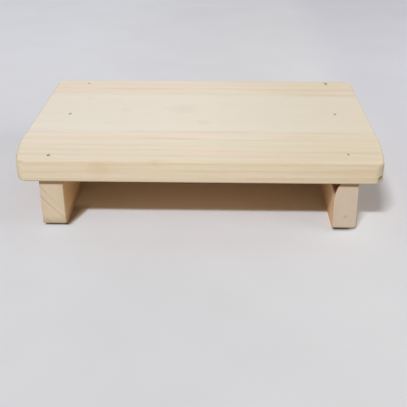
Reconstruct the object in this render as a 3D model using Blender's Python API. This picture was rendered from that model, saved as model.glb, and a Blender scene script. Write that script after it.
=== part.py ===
"""Footed wooden cutting board: one planed plank nailed down onto two wooden runner feet.

Metres, +Z up. The origin lies on the surface that the feet stand on, under the middle of the plank.
+X runs along the plank's length, and -Y is its front.
"""

import math

import bmesh
import bpy
from mathutils import Vector

MM = 0.001

# Plank
BOARD_LENGTH = 405.5 * MM
BOARD_WIDTH = 288.0 * MM
BOARD_THICKNESS = 24.0 * MM
BOARD_LEFT_DRAW = 10.5 * MM  # how far the left end comes in at the front edge
BOARD_RIGHT_DRAW = 7.2 * MM
BOARD_DRAW_LENGTH = 44.0 * MM  # from the front edge back to where the ends begin to come in
BOARD_DRAW_EASE = 28.0 * MM  # either side of that bend, rounded out by sanding
BOARD_FRONT_CORNER = 9.8 * MM  # corners seen from above, measured along both sides
BOARD_BACK_CORNER = 13.0 * MM
BOARD_TOP_EDGE_RADIUS = 3.0 * MM  # rounding all round the top face
BOARD_BOTTOM_EDGE_RADIUS = 2.0 * MM

# Feet
LEFT_FOOT_WIDTH = 26.0 * MM
RIGHT_FOOT_WIDTH = 25.2 * MM
FOOT_HEIGHT = 56.3 * MM
LEFT_FOOT_OVERHANG = 31.25 * MM  # from the plank's end in to the outer side of the foot
RIGHT_FOOT_OVERHANG = 30.65 * MM
LEFT_FOOT_FRONT_SETBACK = 5.5 * MM  # from the plank's front edge back to the top of the foot's end
RIGHT_FOOT_FRONT_SETBACK = 5.2 * MM
LEFT_FOOT_END_SLANT = 0.4 * MM  # front end sawn out of square: its bottom stands this far forward
RIGHT_FOOT_END_SLANT = 4.0 * MM
FOOT_BACK_SETBACK = 4.5 * MM
LEFT_FOOT_OUTER_RADIUS = 4.5 * MM  # rounded outer bottom edge
RIGHT_FOOT_OUTER_RADIUS = 8.0 * MM
FOOT_TOE_RISE = 4.0 * MM  # bottom cut up towards both ends, so that they stand clear
FOOT_TOE_LENGTH = 8.0 * MM
FOOT_ARRIS = 1.2 * MM  # eased edges everywhere else

# Waney edge: the round outside of the log, left along the right foot's upper inner edge
WANE_FRONT_WIDTH = 6.2 * MM  # missing from the top at the front end
WANE_FRONT_DROP = 18.0 * MM  # how far below the top it runs out into the inner side
WANE_BACK_WIDTH = 3.5 * MM
WANE_BACK_DROP = 17.0 * MM

# Lost-head nails, driven through the plank and sunk below its top
NAIL_HEAD_DIAMETER = 2.6 * MM
NAIL_HEAD_HEIGHT = 1.1 * MM
NAIL_HEAD_ROUND = 0.25 * MM
NAIL_HEAD_CUP_DIAMETER = 1.2 * MM
NAIL_HEAD_CUP_DEPTH = 0.3 * MM
NAIL_NECK_HEIGHT = 1.2 * MM  # taper from the head down to the shank
NAIL_SHANK_DIAMETER = 2.0 * MM
NAIL_POINT_LENGTH = 4.0 * MM
NAIL_SINK = 1.2 * MM  # from the plank's top down to the head
NAIL_COVER = 22.0 * MM  # wood left in the foot below the point

# Where each nail was driven: in from the outer side of its foot, and along the foot
LEFT_FRONT_NAIL_IN = 10.8 * MM
LEFT_MIDDLE_NAIL_IN = 9.7 * MM
LEFT_BACK_NAIL_IN = 12.5 * MM
RIGHT_FRONT_NAIL_IN = 11.1 * MM
RIGHT_MIDDLE_NAIL_IN = 8.8 * MM
RIGHT_BACK_NAIL_IN = 5.2 * MM
LEFT_FRONT_NAIL_FROM_EDGE = 17.5 * MM  # from the plank's front edge
RIGHT_FRONT_NAIL_FROM_EDGE = 26.0 * MM
LEFT_MIDDLE_NAIL_OFFSET = 3.7 * MM  # behind the middle of the plank
RIGHT_MIDDLE_NAIL_OFFSET = 8.4 * MM
LEFT_BACK_NAIL_FROM_EDGE = 16.3 * MM  # from the plank's back edge
RIGHT_BACK_NAIL_FROM_EDGE = 12.4 * MM

# Fits
JOINT_GAP = 0.3 * MM  # between the plank, the feet and the nails
CUTTER_REACH = 4.0 * MM  # how far the nail holes' cutters stand proud of the plank
MERGE_DISTANCE = 0.001 * MM  # points this near to each other are one point

# Fineness of the rounded forms
CORNER_SEGMENTS = 10
EDGE_SEGMENTS = 4
WANE_SEGMENTS = 6
NAIL_SIDES = 16
NAIL_POINT_FLATS = 4
SMOOTH_ANGLE = math.radians(32)

# Heights and edges that the pieces share
BOARD_BOTTOM = FOOT_HEIGHT + JOINT_GAP
BOARD_TOP = BOARD_BOTTOM + BOARD_THICKNESS
FRONT_EDGE = -BOARD_WIDTH / 2
BACK_EDGE = BOARD_WIDTH / 2
LEFT_FOOT_OUTER_SIDE = -BOARD_LENGTH / 2 + LEFT_FOOT_OVERHANG
RIGHT_FOOT_OUTER_SIDE = BOARD_LENGTH / 2 - RIGHT_FOOT_OVERHANG
NAIL_TOP = BOARD_TOP - NAIL_SINK
NAIL_LENGTH = NAIL_TOP - NAIL_COVER


def clear_scene():
    for existing in list(bpy.data.objects):
        bpy.data.objects.remove(existing, do_unlink=True)


def make_material(name, color, roughness, metallic=0.0):
    material = bpy.data.materials.new(name)
    material.use_nodes = True
    shader = material.node_tree.nodes["Principled BSDF"]
    shader.inputs["Base Color"].default_value = (*color, 1.0)
    shader.inputs["Roughness"].default_value = roughness
    shader.inputs["Metallic"].default_value = metallic
    return material


def make_object(name, bm, material, parent):
    """Turns a finished bmesh into a named object, shaded smooth over its roundings."""
    bmesh.ops.recalc_face_normals(bm, faces=bm.faces)
    mesh = bpy.data.meshes.new(name)
    bm.to_mesh(mesh)
    bm.free()
    mesh.shade_smooth()
    mesh.set_sharp_from_angle(angle=SMOOTH_ANGLE)
    if material:
        mesh.materials.append(material)
    made = bpy.data.objects.new(name, mesh)
    made.parent = parent
    bpy.context.scene.collection.objects.link(made)
    return made


def cut_with(piece, cutter):
    cut = piece.modifiers.new("nail_holes", "BOOLEAN")
    cut.operation = "DIFFERENCE"
    cut.solver = "EXACT"
    cut.object = cutter


def round_edges(bm, edges, radius, segments):
    bmesh.ops.bevel(
        bm,
        geom=edges,
        offset=radius,
        offset_type="OFFSET",
        affect="EDGES",
        segments=segments,
        profile=0.5,
        clamp_overlap=True,
    )


def arc(centre, radius, start_degrees, end_degrees, segments):
    """Points along a circular arc in a flat (across, height) plane."""
    points = []
    for step in range(segments + 1):
        angle = math.radians(start_degrees + (end_degrees - start_degrees) * step / segments)
        points.append((centre[0] + radius * math.cos(angle), centre[1] + radius * math.sin(angle)))
    return points


def make_board(material, parent):
    """The plank: ends drawn in towards the front, corners and bends rounded in plan, then both rims."""
    bm = bmesh.new()
    bmesh.ops.create_cube(bm, size=1.0)
    bmesh.ops.scale(bm, verts=bm.verts, vec=(BOARD_LENGTH, BOARD_WIDTH, BOARD_THICKNESS))
    bend_line = FRONT_EDGE + BOARD_DRAW_LENGTH
    everything = bm.verts[:] + bm.edges[:] + bm.faces[:]
    cut = bmesh.ops.bisect_plane(bm, geom=everything, plane_co=(0, bend_line, 0), plane_no=(0, 1, 0))
    cut_edges = [item for item in cut["geom_cut"] if isinstance(item, bmesh.types.BMEdge)]
    across = [edge for edge in cut_edges if edge.verts[0].co.x * edge.verts[1].co.x < 0]
    bmesh.ops.dissolve_edges(bm, edges=across)
    for vert in bm.verts:
        if vert.co.y < bend_line - MERGE_DISTANCE:
            vert.co.x += BOARD_LEFT_DRAW if vert.co.x < 0 else -BOARD_RIGHT_DRAW
    upright = [edge for edge in bm.edges if edge.verts[0].co.z * edge.verts[1].co.z < 0]
    front = [edge for edge in upright if edge.verts[0].co.y < bend_line - MERGE_DISTANCE]
    back = [edge for edge in upright if edge.verts[0].co.y > bend_line + MERGE_DISTANCE]
    bends = [edge for edge in upright if edge not in front and edge not in back]
    round_edges(bm, bends, BOARD_DRAW_EASE, CORNER_SEGMENTS)
    front = [edge for edge in front if edge.is_valid]
    round_edges(bm, front, BOARD_FRONT_CORNER, CORNER_SEGMENTS)
    back = [edge for edge in back if edge.is_valid]
    round_edges(bm, back, BOARD_BACK_CORNER, CORNER_SEGMENTS)
    level = [edge for edge in bm.edges if abs(edge.verts[0].co.z - edge.verts[1].co.z) < MERGE_DISTANCE]
    top_rim = [edge for edge in level if edge.verts[0].co.z > 0]
    bottom_rim = [edge for edge in level if edge.verts[0].co.z < 0]
    round_edges(bm, top_rim, BOARD_TOP_EDGE_RADIUS, EDGE_SEGMENTS)
    round_edges(bm, bottom_rim, BOARD_BOTTOM_EDGE_RADIUS, EDGE_SEGMENTS)
    board = make_object("top_board", bm, material, parent)
    board.location = (0, 0, BOARD_BOTTOM + BOARD_THICKNESS / 2)
    return board


def wane_points(width, drop):
    """The log's round outside: an arc that leaves the inner side smoothly and ends on the foot's top."""
    radius = (width**2 + drop**2) / (2 * width)
    sweep = math.degrees(math.asin(drop / radius))
    centre = (RIGHT_FOOT_WIDTH - radius, FOOT_HEIGHT - drop)
    return arc(centre, radius, 0, sweep, WANE_SEGMENTS)


def foot_outline(width, outer_radius, inner_top):
    """Cross-section of a foot: (in from its outer side, height), with its outer bottom edge rounded."""
    rounding = arc((outer_radius, outer_radius), outer_radius, 180, 270, CORNER_SEGMENTS)
    return [*rounding, (width, 0.0), *inner_top, (0.0, FOOT_HEIGHT)]


def make_foot(name, outer_side, front_setback, slant, outlines, material, parent):
    """One runner: outlines bridged along the plank's width, toes cut up, then every arris eased."""
    inward = -1 if outer_side > 0 else 1
    length = BOARD_WIDTH - front_setback - FOOT_BACK_SETBACK
    bm = bmesh.new()
    ends = []
    for outline, along in zip(outlines, (0.0, length)):
        ends.append([bm.verts.new((inward * across, along, height)) for across, height in outline])
        bm.faces.new(ends[-1])
    bmesh.ops.bridge_loops(bm, edges=bm.edges[:])
    for along in (FOOT_TOE_LENGTH, length - FOOT_TOE_LENGTH):
        everything = bm.verts[:] + bm.edges[:] + bm.faces[:]
        bmesh.ops.bisect_plane(bm, geom=everything, plane_co=(0, along, 0), plane_no=(0, 1, 0))
    for vert in ends[0] + ends[1]:
        vert.co.z = max(vert.co.z, FOOT_TOE_RISE)
    for vert in ends[0]:
        vert.co.y -= slant * (1 - vert.co.z / FOOT_HEIGHT)
    bmesh.ops.recalc_face_normals(bm, faces=bm.faces)
    arrises = [edge for edge in bm.edges if edge.calc_face_angle() > SMOOTH_ANGLE]
    round_edges(bm, arrises, FOOT_ARRIS, EDGE_SEGMENTS)
    foot = make_object(name, bm, material, parent)
    foot.location = (outer_side, FRONT_EDGE + front_setback, 0)
    return foot


def revolve(bm, profile):
    """Spins a (radius, height) profile, whose ends lie on the axis, once round Z."""
    points = [bm.verts.new((radius, 0, height)) for radius, height in profile]
    edges = [bm.edges.new(pair) for pair in zip(points, points[1:])]
    bmesh.ops.spin(
        bm,
        geom=points + edges,
        cent=(0, 0, 0),
        axis=(0, 0, 1),
        angle=math.tau,
        steps=NAIL_SIDES,
        use_merge=True,
    )
    bmesh.ops.remove_doubles(bm, verts=bm.verts, dist=MERGE_DISTANCE)


def nail_mesh():
    """A lost-head nail, hanging down from the middle of its head: cupped head, neck, shank and point."""
    head = NAIL_HEAD_DIAMETER / 2
    shank = NAIL_SHANK_DIAMETER / 2
    bm = bmesh.new()
    revolve(
        bm,
        [
            (0, -NAIL_HEAD_CUP_DEPTH),
            (NAIL_HEAD_CUP_DIAMETER / 2, 0),
            (head - NAIL_HEAD_ROUND, 0),
            (head, -NAIL_HEAD_ROUND),
            (head, -NAIL_HEAD_HEIGHT),
            (shank, -NAIL_HEAD_HEIGHT - NAIL_NECK_HEIGHT),
            (shank, -NAIL_LENGTH),
            (0, -NAIL_LENGTH),
        ],
    )
    # Flats struck across the end of the wire meet in the diamond point
    tip = Vector((0, 0, -NAIL_LENGTH))
    for struck in range(NAIL_POINT_FLATS):
        turn = math.tau * (struck + 0.5) / NAIL_POINT_FLATS
        flat = Vector((
            NAIL_POINT_LENGTH * math.cos(turn),
            NAIL_POINT_LENGTH * math.sin(turn),
            -shank,
        ))
        everything = bm.verts[:] + bm.edges[:] + bm.faces[:]
        bmesh.ops.bisect_plane(
            bm,
            geom=everything,
            dist=MERGE_DISTANCE,
            plane_co=tip,
            plane_no=flat.normalized(),
            clear_outer=True,
        )
        bmesh.ops.holes_fill(bm, edges=[edge for edge in bm.edges if edge.is_boundary], sides=0)
    return bm


def nail_hole_mesh(bm, place):
    """The hole for one nail: the nail's own outline grown by the joint gap, open above the plank."""
    before = set(bm.verts)
    head = NAIL_HEAD_DIAMETER / 2 + JOINT_GAP
    shank = NAIL_SHANK_DIAMETER / 2 + JOINT_GAP
    neck_end = -NAIL_HEAD_HEIGHT - NAIL_NECK_HEIGHT - JOINT_GAP
    mouth = NAIL_SINK + CUTTER_REACH
    revolve(
        bm,
        [
            (0, mouth),
            (head, mouth),
            (head, -NAIL_HEAD_HEIGHT - JOINT_GAP),
            (shank, neck_end),
            (shank, -NAIL_LENGTH + NAIL_POINT_LENGTH / 2),
            (JOINT_GAP, -NAIL_LENGTH - JOINT_GAP),
            (0, -NAIL_LENGTH - JOINT_GAP),
        ],
    )
    bmesh.ops.translate(bm, verts=[vert for vert in bm.verts if vert not in before], vec=place)


def left_nail(inset, along):
    return Vector((LEFT_FOOT_OUTER_SIDE + inset, along, NAIL_TOP))


def right_nail(inset, along):
    return Vector((RIGHT_FOOT_OUTER_SIDE - inset, along, NAIL_TOP))


clear_scene()
assembly = bpy.data.objects.new("cutting_board", None)
bpy.context.scene.collection.objects.link(assembly)

board_pine = make_material("board_pine", (0.77, 0.68, 0.53), 0.55)
left_foot_pine = make_material("left_foot_pine", (0.69, 0.58, 0.43), 0.6)
right_foot_pine = make_material("right_foot_pine", (0.68, 0.55, 0.43), 0.6)
nail_steel = make_material("nail_steel", (0.16, 0.15, 0.14), 0.45, 1.0)

nail_places = {
    "nail_left_front": left_nail(LEFT_FRONT_NAIL_IN, FRONT_EDGE + LEFT_FRONT_NAIL_FROM_EDGE),
    "nail_left_middle": left_nail(LEFT_MIDDLE_NAIL_IN, LEFT_MIDDLE_NAIL_OFFSET),
    "nail_left_back": left_nail(LEFT_BACK_NAIL_IN, BACK_EDGE - LEFT_BACK_NAIL_FROM_EDGE),
    "nail_right_front": right_nail(RIGHT_FRONT_NAIL_IN, FRONT_EDGE + RIGHT_FRONT_NAIL_FROM_EDGE),
    "nail_right_middle": right_nail(RIGHT_MIDDLE_NAIL_IN, RIGHT_MIDDLE_NAIL_OFFSET),
    "nail_right_back": right_nail(RIGHT_BACK_NAIL_IN, BACK_EDGE - RIGHT_BACK_NAIL_FROM_EDGE),
}

hole_shapes = bmesh.new()
for place in nail_places.values():
    nail_hole_mesh(hole_shapes, place)
nail_holes = make_object("nail_holes", hole_shapes, None, assembly)
nail_holes.hide_render = True
nail_holes.display_type = "WIRE"

board = make_board(board_pine, assembly)
cut_with(board, nail_holes)

square_corner = [(LEFT_FOOT_WIDTH, FOOT_HEIGHT)]
square_outline = foot_outline(LEFT_FOOT_WIDTH, LEFT_FOOT_OUTER_RADIUS, square_corner)
left_foot = make_foot(
    "left_foot",
    LEFT_FOOT_OUTER_SIDE,
    LEFT_FOOT_FRONT_SETBACK,
    LEFT_FOOT_END_SLANT,
    [square_outline, square_outline],
    left_foot_pine,
    assembly,
)
front_wane = wane_points(WANE_FRONT_WIDTH, WANE_FRONT_DROP)
back_wane = wane_points(WANE_BACK_WIDTH, WANE_BACK_DROP)
right_foot = make_foot(
    "right_foot",
    RIGHT_FOOT_OUTER_SIDE,
    RIGHT_FOOT_FRONT_SETBACK,
    RIGHT_FOOT_END_SLANT,
    [foot_outline(RIGHT_FOOT_WIDTH, RIGHT_FOOT_OUTER_RADIUS, wane) for wane in (front_wane, back_wane)],
    right_foot_pine,
    assembly,
)
for foot in (left_foot, right_foot):
    cut_with(foot, nail_holes)

for name, place in nail_places.items():
    nail = make_object(name, nail_mesh(), nail_steel, assembly)
    nail.location = place
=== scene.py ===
import math

import bmesh
import bpy
from mathutils import Euler, Matrix, Vector, noise
from mathutils.bvhtree import BVHTree


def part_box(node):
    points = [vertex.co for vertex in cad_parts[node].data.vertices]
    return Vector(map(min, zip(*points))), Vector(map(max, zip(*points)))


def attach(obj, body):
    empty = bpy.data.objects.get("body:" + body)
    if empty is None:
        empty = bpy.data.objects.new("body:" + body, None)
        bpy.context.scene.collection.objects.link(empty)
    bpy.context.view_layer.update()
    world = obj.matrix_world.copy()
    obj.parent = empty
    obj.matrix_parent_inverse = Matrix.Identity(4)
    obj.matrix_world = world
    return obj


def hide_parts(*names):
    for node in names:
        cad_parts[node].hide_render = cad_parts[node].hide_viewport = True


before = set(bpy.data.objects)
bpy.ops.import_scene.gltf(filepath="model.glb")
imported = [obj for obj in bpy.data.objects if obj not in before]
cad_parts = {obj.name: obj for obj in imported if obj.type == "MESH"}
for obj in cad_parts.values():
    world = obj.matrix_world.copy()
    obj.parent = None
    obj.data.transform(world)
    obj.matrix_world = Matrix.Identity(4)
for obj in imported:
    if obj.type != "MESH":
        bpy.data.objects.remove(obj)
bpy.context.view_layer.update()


# The nail holes: six lost-head nails were driven from above through the plank into the feet and
# punched just under the surface. Each left a round hole with a slightly crushed mouth, a little
# longer across the grain than along it. One cutter holds all six holes.

MM = 0.001
NAILS = ("nail_left_front", "nail_left_middle", "nail_left_back",
         "nail_right_front", "nail_right_middle", "nail_right_back")
HEAD_RADIUS = 1.3 * MM
HEAD_HEIGHT = 1.1 * MM
SHANK_RADIUS = 1.0 * MM
NECK_LENGTH = 1.2 * MM
HOLE_CLEARANCE = 0.06 * MM
HOLE_OVERCUT = 2 * MM
HOLE_TAPER = 3 * MM
HOLE_SPARE = 1 * MM
HOLE_SIDES = 28
MOUTH_RADIUS = 1.6 * MM
MOUTH_LIP = 0.15 * MM
MOUTH_DEPTH = 0.6 * MM
MOUTH_RIM = 0.4 * MM
MOUTH_SIZES = (1.13, 1.14, 1.06, 0.81, 1.02, 1.60)
MOUTH_STRETCH = 1.6
MOUTH_RAGGEDNESS = 0.16 * MM
MOUTH_GRAIN = 0.9 * MM
DOUBLES_APART = 0.002 * MM


def nail_top(node):
    """The middle of a nail's head, on its upper side."""
    low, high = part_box(node)
    middle = (low + high) / 2
    return Vector((middle.x, middle.y, high.z))


def turn_profile(bm, centre, profile, sides):
    """Spins a profile of radii and heights round an upright axis into a closed round body."""
    corners = [bm.verts.new(centre + Vector((radius, 0, height))) for radius, height in profile]
    edges = [bm.edges.new(pair) for pair in zip(corners, corners[1:])]
    bmesh.ops.spin(bm, geom=corners + edges, cent=centre, axis=(0, 0, 1), angle=math.tau,
                   steps=sides, use_merge=True)


def close_up(bm):
    """Merges the doubles that a spin leaves at its poles and points every face outwards."""
    bmesh.ops.remove_doubles(bm, verts=bm.verts, dist=DOUBLES_APART)
    bmesh.ops.recalc_face_normals(bm, faces=bm.faces)


def keep_mesh(bm, name):
    """Turns a finished bmesh into an object of that name, at the origin."""
    mesh = bpy.data.meshes.new(name)
    bm.to_mesh(mesh)
    bm.free()
    piece = bpy.data.objects.new(name, mesh)
    bpy.context.scene.collection.objects.link(piece)
    return piece


plank_low, plank_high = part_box("top_board")
hole_bm = bmesh.new()
for nail, size in zip(NAILS, MOUTH_SIZES):
    head = nail_top(nail)
    nail_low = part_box(nail)[0].z
    mouth = plank_high.z - head.z
    turn_profile(hole_bm, head, (
        (0.0, mouth + HOLE_OVERCUT),
        (MOUTH_RADIUS * size, mouth + HOLE_OVERCUT),
        (MOUTH_RADIUS * size, mouth - MOUTH_LIP),
        (HEAD_RADIUS + 2 * HOLE_CLEARANCE, mouth - MOUTH_DEPTH),
        (HEAD_RADIUS + HOLE_CLEARANCE, -HEAD_HEIGHT),
        (SHANK_RADIUS + HOLE_CLEARANCE, -HEAD_HEIGHT - NECK_LENGTH),
        (SHANK_RADIUS + HOLE_CLEARANCE, nail_low - head.z + HOLE_TAPER),
        (0.0, nail_low - head.z - HOLE_SPARE),
    ), HOLE_SIDES)
    for vert in hole_bm.verts:
        offset = vert.co - head
        if offset.z > mouth - MOUTH_RIM and offset.xy.length < 2 * MOUTH_RADIUS:
            ragged = noise.noise(Vector((vert.co.x, vert.co.y, 0)) / MOUTH_GRAIN)
            scale = 1 + ragged * MOUTH_RAGGEDNESS / MOUTH_RADIUS
            vert.co.x = head.x + offset.x * scale
            vert.co.y = head.y + offset.y * scale * MOUTH_STRETCH
close_up(hole_bm)
nail_holes = keep_mesh(hole_bm, "nail_holes")


# The plank: one flat-sawn board of pale softwood, planed, with its ends drawn in towards the front, its
# corners rounded in plan and every edge rounded over by sanding. It was cut bark side up from a thick
# log, so growth rings show as long lines near its front and back edges and leave the middle clear.

TOUCH = 0.01 * MM
PLANK_DRAWS = (10.5 * MM, 7.2 * MM)
PLANK_DRAW_LENGTH = 44 * MM
PLANK_DRAW_EASE = 28 * MM
PLANK_FRONT_CORNER = 9.8 * MM
PLANK_BACK_CORNER = 13 * MM
PLANK_CORNER_STEPS = 14
PLANK_TOP_EDGE = 4.5 * MM
PLANK_BOTTOM_EDGE = 2 * MM
PLANK_EDGE_STEPS = 7
PLANK_SPACING = 5 * MM
PLANK_HOLLOWS = 0.16 * MM
PLANK_HOLLOW_SPAN = 55 * MM
PLANK_EDGE_REACH = 3.4 * MM
UNDERSIDE_SPARED = 0.6 * MM
SHARP_TURN = 35
WEAR_PLACE = Vector((192.9, -141.1, 57.0)) * MM
WEAR_FACING = Vector((0.50, -0.55, -0.67))
WEAR_RADIUS = 26 * MM
WEAR_DEPTH = 1.6 * MM
WEAR_ROUGHNESS = 0.25 * MM
DENT_PLACE = Vector((192.8, -141.0, 62.8)) * MM
DENT_FACING = Vector((0.66, -0.70, -0.25))
DENT_RADIUS = 4.2 * MM
DENT_DEPTH = 1.1 * MM
DENT_ROUGHNESS = 0.4 * MM
SCOOP_GRAIN = 2.2 * MM


def block(low, high):
    """Starts a bmesh from a sawn block between two corners."""
    bm = bmesh.new()
    placed = Matrix.LocRotScale((low + high) / 2, None, high - low)
    bmesh.ops.create_cube(bm, size=1.0, matrix=placed)
    return bm


def round_over(bm, edges, radius, segments):
    """Rounds the given edges."""
    bmesh.ops.bevel(bm, geom=edges, offset=radius, offset_type="OFFSET", affect="EDGES",
                    segments=segments, profile=0.5, material=-1)


def upright(edge):
    """True for an edge that stands along Z."""
    run = edge.verts[1].co - edge.verts[0].co
    return abs(run.z) > run.xy.length


def slice_across(bm, axis, stations):
    """Cuts new lines into the skin of a body at places along one axis."""
    facing = Vector((axis == 0, axis == 1, axis == 2))
    for station in stations:
        bmesh.ops.bisect_plane(bm, geom=bm.verts[:] + bm.edges[:] + bm.faces[:],
                               plane_co=facing * station, plane_no=facing, dist=TOUCH)


def even_stations(low, high, spacing):
    """Places that part a length into even steps of about the given spacing."""
    steps = max(1, round((high - low) / spacing))
    return [low + (high - low) * step / steps for step in range(1, steps)]


def hollow_skin(bm, depth, span, stay_flat=False):
    """Presses the skin in by a soft uneven amount, as planing and sanding by hand leave it.

    With stay_flat, the faces that the piece stands on are left flat."""
    bm.normal_update()
    moves = []
    for vert in bm.verts:
        if stay_flat and vert.normal.z < -0.9:
            continue
        swell = 0.5 + 0.5 * noise.noise(vert.co / span)
        moves.append((vert, vert.normal * (depth * swell)))
    for vert, move in moves:
        vert.co -= move


def cut_away(piece, cutter):
    """Cuts one shape out of a piece and keeps the result as the piece's own mesh."""
    cut = piece.modifiers.new("cut", "BOOLEAN")
    cut.operation = "DIFFERENCE"
    cut.solver = "EXACT"
    cut.object = cutter
    bpy.context.view_layer.update()
    ready = piece.evaluated_get(bpy.context.evaluated_depsgraph_get())
    shaped = bpy.data.meshes.new_from_object(ready)
    piece.modifiers.clear()
    shaped.name = piece.name
    piece.data = shaped


def mark_edges(piece, rooms, reach):
    """Writes how near each point is to where two sides meet as the attribute edge.

    The function rooms gives how far a point lies in from each of the sides."""
    nearness = [max(0.0, 1 - sorted(rooms(vert.co))[1] / reach) for vert in piece.data.vertices]
    layer = piece.data.attributes.new("edge", "FLOAT", "POINT")
    layer.data.foreach_set("value", nearness)


def smooth_skin(piece):
    """Shades a piece smooth and keeps its sharp turns sharp."""
    piece.data.shade_smooth()
    piece.data.set_sharp_from_angle(angle=math.radians(SHARP_TURN))


plank_bm = block(plank_low, plank_high)
bend = plank_low.y + PLANK_DRAW_LENGTH
slice_across(plank_bm, 1, (bend,))
lines = [edge for edge in plank_bm.edges if not upright(edge)]
lines = [edge for edge in lines if all(abs(vert.co.y - bend) < TOUCH for vert in edge.verts)]
bmesh.ops.dissolve_edges(plank_bm, edges=lines)
for vert in plank_bm.verts:
    if vert.co.y < bend - MM:
        vert.co.x += PLANK_DRAWS[0] if vert.co.x < 0 else -PLANK_DRAWS[1]
for station, size in ((bend, PLANK_DRAW_EASE), (plank_low.y, PLANK_FRONT_CORNER),
                      (plank_high.y, PLANK_BACK_CORNER)):
    corners = [edge for edge in plank_bm.edges
               if upright(edge) and abs(edge.verts[0].co.y - station) < TOUCH]
    round_over(plank_bm, corners, size, PLANK_CORNER_STEPS)

walls_bm = plank_bm.copy()
flats = [face for face in walls_bm.faces if abs(face.normal.z) > 0.5]
bmesh.ops.delete(walls_bm, geom=flats, context="FACES_ONLY")
plank_walls = BVHTree.FromBMesh(walls_bm)
walls_bm.free()


def plank_rooms(point):
    """How far a point lies in from the plank's outline, its top and its less rubbed underside."""
    level = Vector((point.x, point.y, (plank_low.z + plank_high.z) / 2))
    inward = plank_walls.find_nearest(level)[3]
    return inward, plank_high.z - point.z, point.z - plank_low.z + UNDERSIDE_SPARED


for level, size in ((plank_high.z, PLANK_TOP_EDGE), (plank_low.z, PLANK_BOTTOM_EDGE)):
    rim = [edge for edge in plank_bm.edges
           if all(abs(vert.co.z - level) < TOUCH for vert in edge.verts)]
    round_over(plank_bm, rim, size, PLANK_EDGE_STEPS)
slice_across(plank_bm, 0, even_stations(plank_low.x, plank_high.x, PLANK_SPACING))
slice_across(plank_bm, 1, even_stations(plank_low.y, plank_high.y, PLANK_SPACING))
slice_across(plank_bm, 2, even_stations(plank_low.z + PLANK_BOTTOM_EDGE, plank_high.z - PLANK_TOP_EDGE,
                                        PLANK_SPACING))
hollow_skin(plank_bm, PLANK_HOLLOWS, PLANK_HOLLOW_SPAN)
plank = keep_mesh(plank_bm, "plank")
cut_away(plank, nail_holes)


def scoop(piece, place, facing, radius, depth, roughness):
    """Cuts an uneven shallow scoop into a piece and gives the middle of the ball that cut it."""
    middle = place + facing.normalized() * (radius - depth)
    bm = bmesh.new()
    bmesh.ops.create_icosphere(bm, subdivisions=5, radius=radius, matrix=Matrix.Translation(middle))
    for vert in bm.verts:
        vert.co += (vert.co - middle).normalized() * (roughness * noise.noise(vert.co / SCOOP_GRAIN))
    cutter = keep_mesh(bm, "scoop")
    cut_away(piece, cutter)
    bpy.data.objects.remove(cutter)
    return middle


# The lower front right corner is worn away, and just above it the wood took a dent
scoop(plank, WEAR_PLACE, WEAR_FACING, WEAR_RADIUS, WEAR_DEPTH, WEAR_ROUGHNESS)
dent_middle = scoop(plank, DENT_PLACE, DENT_FACING, DENT_RADIUS, DENT_DEPTH, DENT_ROUGHNESS)
mark_edges(plank, plank_rooms, PLANK_EDGE_REACH)
smooth_skin(plank)


def add_node(tree, kind, inputs=None, **settings):
    """Adds a shader node, sets its options, and links or fills its inputs."""
    made = tree.nodes.new(kind)
    for option, value in settings.items():
        setattr(made, option, value)
    for socket, value in (inputs or {}).items():
        if isinstance(value, bpy.types.NodeSocket):
            tree.links.new(value, made.inputs[socket])
        else:
            made.inputs[socket].default_value = value
    return made


def reckon(tree, operation, *values, clamp=False):
    """One step of arithmetic on values or sockets."""
    step = add_node(tree, "ShaderNodeMath", dict(enumerate(values)), operation=operation, use_clamp=clamp)
    return step.outputs[0]


def reckon_vector(tree, operation, first, second=None):
    """One step of vector arithmetic; lengths and distances come out as a value."""
    inputs = {0: first} if second is None else {0: first, 1: second}
    step = add_node(tree, "ShaderNodeVectorMath", inputs, operation=operation)
    as_value = operation in ("LENGTH", "DISTANCE")
    return step.outputs["Value" if as_value else "Vector"]


def ease(tree, value, start, end, to_start=0.0, to_end=1.0):
    """Eases a value smoothly from one level to another between two limits."""
    step = add_node(tree, "ShaderNodeMapRange", {0: value, 1: start, 2: end, 3: to_start, 4: to_end},
                    interpolation_type="SMOOTHSTEP")
    return step.outputs[0]


def tint(tree, blend, amount, under, over):
    """Lays one colour over another."""
    step = add_node(tree, "ShaderNodeMix", {0: amount, 6: under, 7: over}, data_type="RGBA",
                    blend_type=blend)
    return step.outputs[2]


def grain_noise(tree, place, stretch, detail=2.0, rough=0.5):
    """Noise whose marks are as long and wide as 1 / stretch along each axis."""
    stretched = reckon_vector(tree, "MULTIPLY", place, stretch)
    step = add_node(tree, "ShaderNodeTexNoise",
                    {"Vector": stretched, "Scale": 1.0, "Detail": detail, "Roughness": rough})
    return step.outputs[0]


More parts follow.
